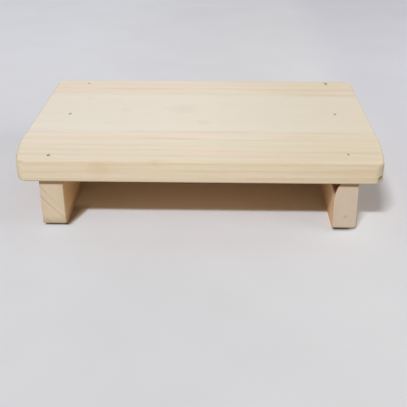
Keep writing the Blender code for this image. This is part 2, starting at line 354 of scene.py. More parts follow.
def build_pine_group():
    """Solid pine: growth rings round a pith line, fibres along X, resin canals and end grain.

    Place is in millimetres with the grain along X and the pith at the origin, so that faces,
    edges and ends of one piece show the same rings."""
    group = bpy.data.node_groups.new("pine_wood", "ShaderNodeTree")
    for name, kind in (("Place", "NodeSocketVector"), ("Facing", "NodeSocketVector"),
                       ("Ring Width", "NodeSocketFloat"), ("Line Radius", "NodeSocketFloat"),
                       ("First Ring", "NodeSocketFloat"), ("Wander", "NodeSocketFloat"),
                       ("Line Start", "NodeSocketFloat"), ("Line Strength", "NodeSocketFloat"),
                       ("Checks", "NodeSocketFloat"), ("Pale", "NodeSocketColor"),
                       ("Line", "NodeSocketColor"), ("End", "NodeSocketColor")):
        group.interface.new_socket(name, in_out="INPUT", socket_type=kind)
    for name, kind in (("Color", "NodeSocketColor"), ("Roughness", "NodeSocketFloat"),
                       ("Height", "NodeSocketFloat"), ("Radius", "NodeSocketFloat"),
                       ("End Grain", "NodeSocketFloat")):
        group.interface.new_socket(name, in_out="OUTPUT", socket_type=kind)
    given = group.nodes.new("NodeGroupInput").outputs
    place = given["Place"]

    # Rings: each year ends in a dark line of late wood, which wanders and differs in strength
    sway = grain_noise(group, place, (0.005, 0.018, 0.018), 3.0, 0.45)
    waver = grain_noise(group, place, (0.014, 0.07, 0.07), 2.0, 0.5)
    sway = reckon(group, "MULTIPLY_ADD", waver, 0.4, reckon(group, "SUBTRACT", sway, 0.7))
    sway = reckon(group, "MULTIPLY", sway, given["Wander"])
    reach = reckon_vector(group, "LENGTH", reckon_vector(group, "MULTIPLY", place, (0, 1, 1)))
    radius = reckon(group, "ADD", reach, sway)
    rings = reckon(group, "DIVIDE", reckon(group, "SUBTRACT", radius, given["Line Radius"]),
                   given["Ring Width"])
    rings = reckon(group, "ADD", rings, 0.94)
    part = reckon(group, "FRACT", rings)
    late = ease(group, part, given["Line Start"], 0.93)
    late = reckon(group, "MULTIPLY", late, ease(group, part, 0.95, 1.0, 1.0, 0.0))
    year = reckon(group, "ADD", reckon(group, "FLOOR", rings), given["First Ring"])
    own = add_node(group, "ShaderNodeTexWhiteNoise", {"W": year}, noise_dimensions="1D").outputs["Value"]
    patchy = ease(group, grain_noise(group, place, (0.009, 0.05, 0.05)), 0.32, 0.68, 0.25, 1.0)
    strength = reckon(group, "MULTIPLY", ease(group, own, 0.12, 0.9), patchy)
    strength = reckon(group, "MULTIPLY", strength, given["Line Strength"])
    late_shown = reckon(group, "MULTIPLY", late, strength, clamp=True)

    # Along the grain run streaks, fibres and resin canals; the end grain has rays and drying checks
    streaks = grain_noise(group, place, (0.014, 0.55, 0.55), 4.0, 0.6)
    fibres = grain_noise(group, place, (0.09, 3.4, 3.4), 2.0, 0.5)
    canals = ease(group, grain_noise(group, place, (0.05, 1.7, 1.7), 0.0), 0.70, 0.80)
    facing = add_node(group, "ShaderNodeSeparateXYZ", {0: given["Facing"]}).outputs
    end = ease(group, reckon(group, "ABSOLUTE", facing["X"]), 0.35, 0.9)
    sides = add_node(group, "ShaderNodeSeparateXYZ", {0: place}).outputs
    around = reckon(group, "ARCTAN2", sides["Y"], sides["Z"])
    around = reckon(group, "MULTIPLY", around, given["Line Radius"])
    spokes = add_node(group, "ShaderNodeCombineXYZ", {0: sides["X"], 1: around, 2: radius}).outputs[0]
    rays = grain_noise(group, spokes, (0.05, 1.9, 0.08), 2.0)
    rays = reckon(group, "MULTIPLY", reckon(group, "SUBTRACT", rays, 0.5), end)
    split = reckon(group, "SUBTRACT", grain_noise(group, spokes, (0.01, 0.11, 0.012), 1.0), 0.5)
    split = reckon(group, "ABSOLUTE", split)
    opened = ease(group, grain_noise(group, spokes, (0.02, 0.21, 0.08)), 0.50, 0.60)
    checks = reckon(group, "MULTIPLY", ease(group, split, 0.028, 0.004), opened)
    checks = reckon(group, "MULTIPLY", reckon(group, "MULTIPLY", checks, end), given["Checks"])

    # Where the wood is darker it is also warmer
    colour = tint(group, "MIX", late_shown, given["Pale"], given["Line"])
    tone = reckon(group, "MULTIPLY_ADD", reckon(group, "SUBTRACT", streaks, 0.5), 0.13, 1.0)
    tone = reckon(group, "MULTIPLY_ADD", reckon(group, "SUBTRACT", fibres, 0.5), 0.07, tone)
    tone = reckon(group, "MULTIPLY_ADD", reckon(group, "SUBTRACT", own, 0.5), 0.02, tone)
    tone = reckon(group, "MULTIPLY_ADD", canals, -0.10, tone)
    tone = reckon(group, "MULTIPLY_ADD", rays, 0.10, tone)
    tone = reckon(group, "MULTIPLY_ADD", checks, -0.50, tone)
    tone_colour = add_node(group, "ShaderNodeCombineColor", {
        0: reckon(group, "POWER", tone, 0.75), 1: tone, 2: reckon(group, "POWER", tone, 1.3)}).outputs[0]
    colour = tint(group, "MULTIPLY", 1.0, colour, tone_colour)
    colour = tint(group, "MULTIPLY", end, colour, given["End"])

    # Late wood is smoother and stands a little proud, end grain is rougher, canals and checks lie deep
    rough = reckon(group, "MULTIPLY_ADD", late, -0.07, 0.60)
    rough = reckon(group, "MULTIPLY_ADD", reckon(group, "SUBTRACT", fibres, 0.5), 0.14, rough)
    rough = reckon(group, "MULTIPLY_ADD", end, 0.14, rough, clamp=True)
    height = reckon(group, "MULTIPLY_ADD", late, 0.25, reckon(group, "MULTIPLY", streaks, 0.35))
    height = reckon(group, "MULTIPLY_ADD", fibres, 0.5, height)
    height = reckon(group, "MULTIPLY_ADD", canals, -0.5, height)
    height = reckon(group, "MULTIPLY_ADD", checks, -2.0, height)

    taken = group.nodes.new("NodeGroupOutput").inputs
    for name, socket in (("Color", colour), ("Roughness", rough), ("Height", height),
                         ("Radius", radius), ("End Grain", end)):
        group.links.new(socket, taken[name])
    return group


pine_group = build_pine_group()


def start_wood(name, pith, turn, values):
    """A wood material with its pine group in place; the pith is a point that the pith line passes."""
    material = bpy.data.materials.new(name)
    material.use_nodes = True
    tree = material.node_tree
    coords = add_node(tree, "ShaderNodeTexCoord").outputs
    turned = Euler(turn).to_matrix()
    shift = -(turned @ pith) / MM
    place = add_node(tree, "ShaderNodeMapping", {
        "Vector": coords["Object"], "Location": shift, "Rotation": turn,
        "Scale": (1 / MM, 1 / MM, 1 / MM)}).outputs[0]
    facing = add_node(tree, "ShaderNodeMapping", {"Vector": coords["Normal"], "Rotation": turn},
                      vector_type="VECTOR").outputs[0]
    wood = tree.nodes.new("ShaderNodeGroup")
    wood.node_tree = pine_group
    tree.links.new(place, wood.inputs["Place"])
    tree.links.new(facing, wood.inputs["Facing"])
    for socket, value in values.items():
        wood.inputs[socket].default_value = value
    return material, tree, coords, place, wood.outputs


GRAIN_HEIGHT = 0.25 * MM


def finish_wood(material, colour, roughness, height, bump, shine):
    """Joins a wood's colour, roughness and relief to its shader."""
    tree = material.node_tree
    shader = tree.nodes["Principled BSDF"]
    shader.inputs["Specular IOR Level"].default_value = shine
    relief = add_node(tree, "ShaderNodeBump", {
        "Height": height, "Strength": bump, "Distance": GRAIN_HEIGHT})
    tree.links.new(colour, shader.inputs["Base Color"])
    tree.links.new(roughness, shader.inputs["Roughness"])
    tree.links.new(relief.outputs[0], shader.inputs["Normal"])


def build_wear_group():
    """Darkened edges, from wear and, on the plank, also from painted shade: the nearer to an edge, the more
    of the given colour.
    """
    group = bpy.data.node_groups.new("rubbed_and_shaded_edges", "ShaderNodeTree")
    for name, kind in (("Color", "NodeSocketColor"), ("Nearness", "NodeSocketFloat"),
                       ("Place", "NodeSocketVector"), ("Worn", "NodeSocketColor")):
        group.interface.new_socket(name, in_out="INPUT", socket_type=kind)
    group.interface.new_socket("Color", in_out="OUTPUT", socket_type="NodeSocketColor")
    given = group.nodes.new("NodeGroupInput").outputs
    uneven = ease(group, grain_noise(group, given["Place"], (0.05, 0.05, 0.05), 3.0), 0.3, 0.7, 0.75, 1.1)
    amount = reckon(group, "MULTIPLY", given["Nearness"], uneven, clamp=True)
    taken = group.nodes.new("NodeGroupOutput").inputs
    group.links.new(tint(group, "MULTIPLY", amount, given["Color"], given["Worn"]), taken["Color"])
    return group


wear_group = build_wear_group()


def wear_and_shade_edges(tree, colour, place, worn):
    """Darkens the edges of a piece, which its attribute edge marks, with wear, and on the plank also with
    painted shade.
    """
    nearness = add_node(tree, "ShaderNodeAttribute", attribute_name="edge").outputs["Fac"]
    wear = tree.nodes.new("ShaderNodeGroup")
    wear.node_tree = wear_group
    tree.links.new(colour, wear.inputs["Color"])
    tree.links.new(nearness, wear.inputs["Nearness"])
    tree.links.new(place, wear.inputs["Place"])
    wear.inputs["Worn"].default_value = worn
    return wear.outputs["Color"]


def in_millimetres(tree, coords):
    """The place on a piece, in millimetres."""
    return add_node(tree, "ShaderNodeVectorMath", {0: coords["Object"], "Scale": 1 / MM},
                    operation="SCALE").outputs[0]


PLANK_PITH = Vector((0.0, 0.013, plank_high.z - 0.240))
PLANK_TURN = (0.0, 0.0, math.radians(0.7))
PLANK_PALE = (0.820, 0.745, 0.628, 1)
PLANK_LINE = (0.655, 0.552, 0.425, 1)
PLANK_END = (0.92, 0.915, 0.89, 1)
RINGS_FROM = (248.0, 253.0)
FLUSH_FROM = (249.5, 252.5)
FLUSH_TO = (256.0, 259.0)
PLANK_CLEAR = (0.993, 0.999, 1.020, 1)
PLANK_STREAK = (0.980, 0.948, 0.915, 1)
PLANK_FLUSH = (1.00, 0.960, 0.945, 1)
PLANK_YELLOW_AND_SHADE = (0.863, 0.85, 0.80, 1)
YELLOW_SHADE_SHIFT = 60 * MM
YELLOW_SHADE_STRETCH = (10 * MM, 250 * MM)
PLANK_FRONT = (0.962, 0.935, 0.905, 1)
FRONT_STRETCH = (-60 * MM, -130 * MM)
PLANK_BACK = (1.00, 0.970, 0.975, 1)
BACK_STRETCH = (50 * MM, 120 * MM)
PLANK_ROSY = (1.015, 0.988, 0.982, 1)
PLANK_STRAW = (0.990, 1.0, 0.958, 1)
PLANK_SIDES = (0.895, 0.856, 0.782, 1)
PLANK_UNDERSIDE_SHADE = (1.19, 0.79, 0.385, 1)
PLANK_WEAR_AND_SHADE = (0.84, 0.825, 0.79, 1)
PLANK_EDGE_SHADE = (0.875, 0.87, 0.86, 1)
PLANK_DIRT_AND_SHADE = (0.73, 0.76, 0.76, 1)
DIRT_AND_SHADE_STRETCH = (-100 * MM, -138 * MM)
SMUDGE_GREY = (0.945, 0.95, 0.96, 1)
SMUDGES = ((-25, 24, 23), (-95, 21, 9), (3, -24, 9), (-110, -29, 8), (-145, 61, 7))
SMUDGE_RAG = 22
BROWN_STAINS = (((-104, -144, 72), 13), ((-44, -140, 79), 6))
STAIN_BROWN = (0.95, 0.935, 0.885, 1)
DENT_BROWN = (0.30, 0.23, 0.16, 1)
NAIL_STAIN = (0.58, 0.53, 0.48, 1)
STAIN_SQUEEZE = 0.52
STAIN_DRIFT = 0.8 * MM
PLANK_BUMP = 0.35
PLANK_SHINE = 0.35

plank_material, tree, coords, place, wood = start_wood(
    "plank_pine", PLANK_PITH, PLANK_TURN, {
        "Ring Width": 7.1, "Line Radius": 250.7, "First Ring": 3626, "Wander": 4.2, "Line Start": 0.45,
        "Line Strength": 0.46, "Checks": 0.2, "Pale": PLANK_PALE, "Line": PLANK_LINE, "End": PLANK_END})
colour = wood["Color"]

# Rings show from some 250 mm off the pith. Outside the clear middle the wood is streaky and flushed pink.
# To the right it is yellower and, as painted shade, darker; to the front it is yellower, and faint rosy and
# straw-coloured blotches run through it
ringed = ease(tree, wood["Radius"], *RINGS_FROM)
colour = tint(tree, "MULTIPLY", reckon(tree, "SUBTRACT", 1.0, ringed), colour, PLANK_CLEAR)
streaky = ease(tree, grain_noise(tree, place, (0.007, 0.20, 0.20), 3.0, 0.6), 0.44, 0.66)
colour = tint(tree, "MULTIPLY", reckon(tree, "MULTIPLY", streaky, ringed), colour, PLANK_STREAK)
flush = ease(tree, wood["Radius"], *FLUSH_FROM)
flush = reckon(tree, "MULTIPLY", flush, ease(tree, wood["Radius"], *FLUSH_TO, 1.0, 0.0))
patches = ease(tree, grain_noise(tree, place, (0.012, 0.05, 0.05)), 0.35, 0.65)
colour = tint(tree, "MULTIPLY", reckon(tree, "MULTIPLY", flush, patches), colour, PLANK_FLUSH)
where = add_node(tree, "ShaderNodeSeparateXYZ", {0: coords["Object"]}).outputs
facing = add_node(tree, "ShaderNodeSeparateXYZ", {0: coords["Normal"]}).outputs
upward = facing["Z"]
along = reckon(tree, "MULTIPLY_ADD", ease(tree, upward, 0.3, 0.97), YELLOW_SHADE_SHIFT, where["X"])
colour = tint(tree, "MULTIPLY", ease(tree, along, *YELLOW_SHADE_STRETCH), colour, PLANK_YELLOW_AND_SHADE)
colour = tint(tree, "MULTIPLY", ease(tree, where["Y"], *FRONT_STRETCH), colour, PLANK_FRONT)
colour = tint(tree, "MULTIPLY", ease(tree, where["Y"], *BACK_STRETCH), colour, PLANK_BACK)
blotches = ease(tree, grain_noise(tree, place, (0.008, 0.045, 0.045), 3.0), 0.35, 0.65)
blushed = reckon(tree, "MULTIPLY_ADD", ringed, 0.7, 0.3)
colour = tint(tree, "MULTIPLY", blushed, colour, tint(tree, "MIX", blotches, PLANK_ROSY, PLANK_STRAW))

# Faint grey smudges with ragged outlines lie on the clear middle of the top
in_mm = in_millimetres(tree, coords)
blurred = add_node(tree, "ShaderNodeTexNoise", {"Vector": in_mm, "Scale": 0.09, "Detail": 3.0}).outputs[1]
ragged = add_node(tree, "ShaderNodeVectorMath", {0: blurred, 1: (SMUDGE_RAG, SMUDGE_RAG, 0), 2: in_mm},
                  operation="MULTIPLY_ADD").outputs[0]
rag_middle = Vector((SMUDGE_RAG / 2, SMUDGE_RAG / 2, 0))
smudged = None
for across, back, size in SMUDGES:
    spot = Vector((across, back, plank_high.z / MM)) + rag_middle
    one = ease(tree, reckon_vector(tree, "DISTANCE", ragged, spot), 0.25 * size, 1.15 * size, 1.0, 0.0)
    smudged = one if smudged is None else reckon(tree, "MAXIMUM", smudged, one)
colour = tint(tree, "MULTIPLY", smudged, colour, SMUDGE_GREY)

# Two brown stains lie at the front edge
for spot, size in BROWN_STAINS:
    near = reckon_vector(tree, "DISTANCE", ragged, Vector(spot) + rag_middle)
    colour = tint(tree, "MULTIPLY", ease(tree, near, 0.2 * size, 1.2 * size, 1.0, 0.0), colour, STAIN_BROWN)

# Iron has stained the wood close round each nail, more across the grain, and the dent's rim is dark brown
stained = None
squeezed = reckon_vector(tree, "MULTIPLY", in_mm, (1, STAIN_SQUEEZE, 1))
for nail, size in zip(NAILS, MOUTH_SIZES):
    head = nail_top(nail)
    spot = Vector((head.x, (head.y - STAIN_DRIFT) * STAIN_SQUEEZE, plank_high.z)) / MM
    near = reckon_vector(tree, "DISTANCE", squeezed, spot)
    one = ease(tree, near, 1.0 * size, 2.2 * size, 1.0, 0.0)
    stained = one if stained is None else reckon(tree, "MAXIMUM", stained, one)
colour = tint(tree, "MULTIPLY", stained, colour, NAIL_STAIN)
from_dent = reckon_vector(tree, "DISTANCE", in_mm, dent_middle / MM)
from_rim = reckon(tree, "SUBTRACT", from_dent, DENT_RADIUS / MM + 0.25)
rimmed = ease(tree, reckon(tree, "ABSOLUTE", from_rim), 0.15, 0.7, 0.7, 0.0)
colour = tint(tree, "MIX", rimmed, colour, DENT_BROWN)

# The planed sides were never scrubbed as the top was, and the underside is tinted amber as painted warm
# shade.
# Painted shade dulls the rounded front edges, and dirt with painted shade darkens the sides near the front,
# most of all at the right
# The edges are darkened by wear and by painted shade that dulls the lamp's highlight on the rounding
colour = wear_and_shade_edges(tree, colour, in_mm, PLANK_WEAR_AND_SHADE)
on_sides = ease(tree, reckon(tree, "ABSOLUTE", upward), 0.97, 0.45)
colour = tint(tree, "MULTIPLY", on_sides, colour, PLANK_SIDES)
# Painted shade on the rounded front edges, which keeps the lamp's highlight off them
edge_shade = ease(tree, reckon(tree, "ABSOLUTE", upward), 0.05, 0.35)
edge_shade = reckon(tree, "MULTIPLY", edge_shade, ease(tree, facing["Y"], -0.25, -0.70))
colour = tint(tree, "MULTIPLY", edge_shade, colour, PLANK_EDGE_SHADE)
# Dirt and painted shade darken the sides near the front, most of all the right end
dirt_and_shade = reckon(tree, "MULTIPLY", ease(tree, facing["X"], -0.20, -0.80), 0.15)
dirt_and_shade = reckon(tree, "ADD", dirt_and_shade, ease(tree, facing["X"], 0.0, 0.65))
dirt_and_shade = reckon(tree, "MULTIPLY", dirt_and_shade, ease(tree, upward, 0.7, 0.2))
dirt_and_shade = reckon(tree, "MULTIPLY", dirt_and_shade, ease(tree, where["Y"], *DIRT_AND_SHADE_STRETCH))
uneven = ease(tree, grain_noise(tree, in_mm, (0.30, 0.30, 0.12), 4.0), 0.35, 0.65, 0.6, 1.0)
colour = tint(tree, "MULTIPLY", reckon(tree, "MULTIPLY", dirt_and_shade, uneven), colour, PLANK_DIRT_AND_SHADE)
# Painted warm shade: the underside is tinted amber
colour = tint(tree, "MULTIPLY", ease(tree, upward, -0.85, -0.98), colour, PLANK_UNDERSIDE_SHADE)
finish_wood(plank_material, colour, wood["Roughness"], wood["Height"], PLANK_BUMP, PLANK_SHINE)
plank.data.materials.append(plank_material)
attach(plank, "root")
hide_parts("top_board")


# The left foot: a runner sawn from thicker pine, set on edge under the plank with its grain running
# from front to back, so that its end grain faces the front. Its outer bottom edge is planed round,
# and three nails through the plank hold it.

LEFT_OUTER_ROUND = 4.5 * MM
LEFT_SLANT = 0.4 * MM
FOOT_TOE_RISE = 4 * MM
FOOT_TOE_LENGTH = 8 * MM
FOOT_ROUND_STEPS = 8
FOOT_ARRIS = 1.2 * MM
FOOT_ARRIS_STEPS = 4
FOOT_SLIVER = 0.05 * MM
FOOT_SPACING = 4 * MM
FOOT_HOLLOWS = 0.14 * MM
FOOT_HOLLOW_SPAN = 40 * MM
FOOT_RUBBED = 3 * MM
CLEAR_CORNER = 40


def is_arris(edge):
    """True for an edge where two faces meet at a clear corner."""
    return len(edge.link_faces) == 2 and edge.calc_face_angle() > math.radians(CLEAR_CORNER)


def start_foot(low, high, side, outer_round, slant):
    """A sawn runner, planed round along its outer bottom edge and cut up under its ends.

    Side is -1 for the left runner and 1 for the right one. Its front end slants, sawn out of square."""
    bm = block(low, high)
    outer = high.x if side > 0 else low.x
    planed = [edge for edge in bm.edges
              if all(abs(vert.co.x - outer) < MM and vert.co.z < low.z + MM for vert in edge.verts)]
    round_over(bm, planed, outer_round, FOOT_ROUND_STEPS)
    toes = [vert for vert in bm.verts if vert.co.z < low.z + FOOT_TOE_RISE]
    front = [vert for vert in bm.verts if vert.co.y < low.y + MM]
    slice_across(bm, 1, (low.y + slant + FOOT_TOE_LENGTH, high.y - FOOT_TOE_LENGTH))
    for vert in toes:
        vert.co.z = low.z + FOOT_TOE_RISE
    for vert in front:
        vert.co.y += slant * (vert.co.z - low.z - FOOT_TOE_RISE) / (high.z - low.z)
    return bm


def finish_foot(bm, low, high, outer_round, slant):
    """Eases the corners of a runner and makes its skin uneven, apart from its sole."""
    bmesh.ops.recalc_face_normals(bm, faces=bm.faces)
    round_over(bm, [edge for edge in bm.edges if is_arris(edge)], FOOT_ARRIS, FOOT_ARRIS_STEPS)
    bmesh.ops.remove_doubles(bm, verts=bm.verts, dist=FOOT_SLIVER)
    slice_across(bm, 1, even_stations(low.y + slant + FOOT_TOE_LENGTH, high.y - FOOT_TOE_LENGTH,
                                      FOOT_SPACING))
    slice_across(bm, 2, even_stations(low.z + outer_round, high.z - FOOT_ARRIS, FOOT_SPACING))
    slice_across(bm, 0, even_stations(low.x + outer_round, high.x - outer_round, FOOT_SPACING))
    hollow_skin(bm, FOOT_HOLLOWS, FOOT_HOLLOW_SPAN, stay_flat=True)


left_low, left_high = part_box("left_foot")
left_bm = start_foot(left_low, left_high, -1, LEFT_OUTER_ROUND, LEFT_SLANT)
finish_foot(left_bm, left_low, left_high, LEFT_OUTER_ROUND, LEFT_SLANT)
left_foot = keep_mesh(left_bm, "left_runner")
cut_away(left_foot, nail_holes)


def block_rooms(low, high):
    """Gives a function that tells how far a point lies in from the sides of a block."""
    def rooms(point):
        return [min(point[axis] - low[axis], high[axis] - point[axis]) for axis in range(3)]
    return rooms


mark_edges(left_foot, block_rooms(left_low, left_high), FOOT_RUBBED)
smooth_skin(left_foot)


SAW_SLANT = 24
SAW_DEPTH = 0.6
JOINT_SHADE_DEPTHS = (6.4, 3.8)


def build_runner_group():
    """What sawing left on a runner: slanting marks across its ends and upright ones along its sides. Its
    inner side is tinted with painted warm shade, and its top under the plank is darkened with painted
    shade."""
    group = bpy.data.node_groups.new("sawn_runner", "ShaderNodeTree")
    for name, kind in (("Color", "NodeSocketColor"), ("Height", "NodeSocketFloat"),
                       ("Place", "NodeSocketVector"), ("Facing", "NodeSocketVector"),
                       ("End Grain", "NodeSocketFloat"), ("Side", "NodeSocketFloat"),
                       ("Inner Shade", "NodeSocketColor"), ("Joint Shade", "NodeSocketColor"),
                       ("Depth", "NodeSocketFloat")):
        group.interface.new_socket(name, in_out="INPUT", socket_type=kind)
    for name, kind in (("Color", "NodeSocketColor"), ("Height", "NodeSocketFloat")):
        group.interface.new_socket(name, in_out="OUTPUT", socket_type=kind)
    given = group.nodes.new("NodeGroupInput").outputs

    slanted = add_node(group, "ShaderNodeMapping", {
        "Vector": given["Place"], "Rotation": (0, math.radians(SAW_SLANT), 0)}).outputs[0]
    across = add_node(group, "ShaderNodeTexWave", {
        "Vector": slanted, "Scale": 0.22, "Distortion": 3.0, "Detail": 2.0, "Detail Scale": 0.3},
        bands_direction="Z").outputs[1]
    along = add_node(group, "ShaderNodeTexWave", {
        "Vector": given["Place"], "Scale": 0.13, "Distortion": 4.0, "Detail": 2.0, "Detail Scale": 0.2},
        bands_direction="Y").outputs[1]
    marks = add_node(group, "ShaderNodeMix", {0: given["End Grain"], 2: along, 3: across}).outputs[0]
    height = reckon(group, "MULTIPLY_ADD", marks, given["Depth"], given["Height"])

    turned = add_node(group, "ShaderNodeSeparateXYZ", {0: given["Facing"]}).outputs["X"]
    # Painted warm shade on the inner side
    inner = ease(group, reckon(group, "MULTIPLY", turned, given["Side"]), -0.3, -0.9)
    colour = tint(group, "MULTIPLY", inner, given["Color"], given["Inner Shade"])
    # Painted shade at the top of the runner, under the plank
    up = add_node(group, "ShaderNodeSeparateXYZ", {0: given["Place"]}).outputs["Z"]
    joint = ease(group, up, plank_low.z / MM - JOINT_SHADE_DEPTHS[0], plank_low.z / MM - JOINT_SHADE_DEPTHS[1])
    colour = tint(group, "MULTIPLY", joint, colour, given["Joint Shade"])
    shade = reckon(group, "MULTIPLY_ADD", marks, 0.03, 0.985)
    colour = tint(group, "MULTIPLY", 1.0, colour, add_node(group, "ShaderNodeCombineColor", {
        0: shade, 1: shade, 2: shade}).outputs[0])
    taken = group.nodes.new("NodeGroupOutput").inputs
    group.links.new(colour, taken["Color"])
    group.links.new(height, taken["Height"])
    return group


runner_group = build_runner_group()
FOOT_TURN = (0.0, 0.0, math.radians(-90))
FOOT_JOINT_SHADE = (0.74, 0.64, 0.48, 1)
FOOT_WORN = (0.93, 0.92, 0.90, 1)
FOOT_BUMP = 0.5
FOOT_SHINE = 0.12


def saw_runner(tree, coords, wood, side, inner):
    """Adds the saw's marks and the rubbed edges to a runner; gives its colour and relief."""
    in_mm = in_millimetres(tree, coords)
    sawn = tree.nodes.new("ShaderNodeGroup")
    sawn.node_tree = runner_group
    for name, socket in (("Color", wood["Color"]), ("Height", wood["Height"]), ("Place", in_mm),
                         ("Facing", coords["Normal"]), ("End Grain", wood["End Grain"])):
        tree.links.new(socket, sawn.inputs[name])
    sawn.inputs["Side"].default_value = side
    sawn.inputs["Inner Shade"].default_value = inner
    sawn.inputs["Joint Shade"].default_value = FOOT_JOINT_SHADE
    sawn.inputs["Depth"].default_value = SAW_DEPTH
    return wear_and_shade_edges(tree, sawn.outputs["Color"], in_mm, FOOT_WORN), sawn.outputs["Height"]


LEFT_PITH = Vector((-0.014, 0.0, 0.1593))
LEFT_PALE = (0.626, 0.521, 0.388, 1)
LEFT_LINE = (0.44, 0.34, 0.235, 1)
LEFT_END = (1.0, 0.98, 0.94, 1)
LEFT_INNER_SHADE = (1.085, 0.885, 0.60, 1)
LEFT_LOW_DARKER = (0.79, 0.78, 0.76, 1)
LEFT_DARKER_HEIGHTS = (14 * MM, 4 * MM)

left_material, tree, coords, place, wood = start_wood(
    "left_runner_pine", LEFT_PITH, FOOT_TURN, {
        "Ring Width": 7.5, "Line Radius": 199.5, "First Ring": 43, "Wander": 3.0, "Line Start": 0.70,
        "Line Strength": 0.9, "Checks": 0.0, "Pale": LEFT_PALE, "Line": LEFT_LINE, "End": LEFT_END})
colour, relief = saw_runner(tree, coords, wood, -1, LEFT_INNER_SHADE)

# It is darker towards its bottom
up = add_node(tree, "ShaderNodeSeparateXYZ", {0: coords["Object"]}).outputs["Z"]
colour = tint(tree, "MULTIPLY", ease(tree, up, *LEFT_DARKER_HEIGHTS), colour, LEFT_LOW_DARKER)
finish_wood(left_material, colour, wood["Roughness"], relief, FOOT_BUMP, FOOT_SHINE)
left_foot.data.materials.append(left_material)
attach(left_foot, "root")
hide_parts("left_foot")


# The right foot: a matching runner from the outside of a thinner log. Along its upper inner edge the
# saw ran out of wood, so there the log's own round skin is left, brown and uneven under the plank.
# Three nails through the plank hold it.

RIGHT_OUTER_ROUND = 8 * MM
RIGHT_SLANT = 4 * MM
LOG_RADIUS = 30 * MM
LOG_DROP = 18 * MM
LOG_RISE = 4 * MM
WANE_ANGLES = (3, 9, 15, 21, 27, 33, 39)
WANE_HOLLOWS = 0.5 * MM
RIPPLE_WIDTH = 5 * MM
RIPPLE_LENGTH = 22 * MM
SKIN_DEPTH = 1.2 * MM


def saw_off(bm, place, facing):
    """Cuts away what lies beyond a plane and closes the cut."""
    cut = bmesh.ops.bisect_plane(bm, geom=bm.verts[:] + bm.edges[:] + bm.faces[:], plane_co=place,
                                 plane_no=facing, clear_outer=True, dist=0.1 * TOUCH)
    rim = [edge for edge in cut["geom_cut"] if isinstance(edge, bmesh.types.BMEdge)]
    bmesh.ops.holes_fill(bm, edges=rim)


right_low, right_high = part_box("right_foot")
log_front = Vector((right_low.x + LOG_RADIUS, right_low.y, right_high.z - LOG_DROP))
log_line = Vector((0.0, right_high.y - right_low.y, LOG_RISE)).normalized()
right_bm = start_foot(right_low, right_high, 1, RIGHT_OUTER_ROUND, RIGHT_SLANT)
for angle in WANE_ANGLES:
    outward = Vector((-math.cos(math.radians(angle)), 0.0, math.sin(math.radians(angle))))
    outward = (outward - log_line * outward.dot(log_line)).normalized()
    saw_off(right_bm, log_front + outward * LOG_RADIUS, outward)
finish_foot(right_bm, right_low, right_high, RIGHT_OUTER_ROUND, RIGHT_SLANT)

# The log's skin is uneven, in long shallow ripples
for vert in right_bm.verts:
    from_front = vert.co - log_front
    outward = from_front - log_line * from_front.dot(log_line)
    inside = LOG_RADIUS - outward.length
    if inside < SKIN_DEPTH and vert.co.z > log_front.z:
        spot = Vector((vert.co.x / RIPPLE_WIDTH, vert.co.y / RIPPLE_LENGTH, vert.co.z / RIPPLE_WIDTH))
        ripple = 0.5 + 0.5 * noise.noise(spot)
        vert.co -= outward.normalized() * (WANE_HOLLOWS * ripple)
right_foot = keep_mesh(right_bm, "right_runner")
cut_away(right_foot, nail_holes)
mark_edges(right_foot, block_rooms(right_low, right_high), FOOT_RUBBED)
smooth_skin(right_foot)

RIGHT_PALE = (0.549, 0.455, 0.362, 1)
RIGHT_LINE = (0.50, 0.385, 0.29, 1)
RIGHT_END = (1.0, 0.975, 0.95, 1)
RIGHT_INNER_SHADE = (1.34, 1.07, 0.76, 1)
RIGHT_PAINTED_LIT = (1.05, 1.15, 1.38, 1)
PAINTED_LIT_STRETCH = (-104 * MM, -124 * MM)
BARK = (0.135, 0.034, 0.0055, 1)
BAST = (0.34, 0.145, 0.037, 1)
BAST_RELIEF = 3.0
BARE_DEPTHS = (1.6, 0.9)
BARE_RISE = 8 * MM
FLECK = (0.82, 0.80, 0.78, 1)
FLECK_PLACE = Vector((160, -141.5, 17)) * MM
FLECK_SIZE = (0.5 * MM, 3.2 * MM)
RIGHT_PITH = Vector((right_low.x + 0.062, 0.0, 0.018))
LOG_TURN = (-log_line.z, 0.0, math.radians(-90))

right_material, tree, coords, place, wood = start_wood(
    "right_runner_pine", RIGHT_PITH, FOOT_TURN, {
        "Ring Width": 5.2, "Line Radius": 54.0, "First Ring": 1898, "Wander": 2.0, "Line Start": 0.5,
        "Line Strength": 0.35, "Checks": 0.0, "Pale": RIGHT_PALE, "Line": RIGHT_LINE, "End": RIGHT_END})
colour, relief = saw_runner(tree, coords, wood, 1, RIGHT_INNER_SHADE)

# The front stretch of its inner side is paler, as painted light where the lamp reaches it
where = add_node(tree, "ShaderNodeSeparateXYZ", {0: coords["Object"]}).outputs
turned = add_node(tree, "ShaderNodeSeparateXYZ", {0: coords["Normal"]}).outputs["X"]
painted_lit = reckon(tree, "MULTIPLY", ease(tree, turned, -0.3, -0.9), ease(tree, where["Y"], *PAINTED_LIT_STRETCH))
colour = tint(tree, "MULTIPLY", painted_lit, colour, RIGHT_PAINTED_LIT)

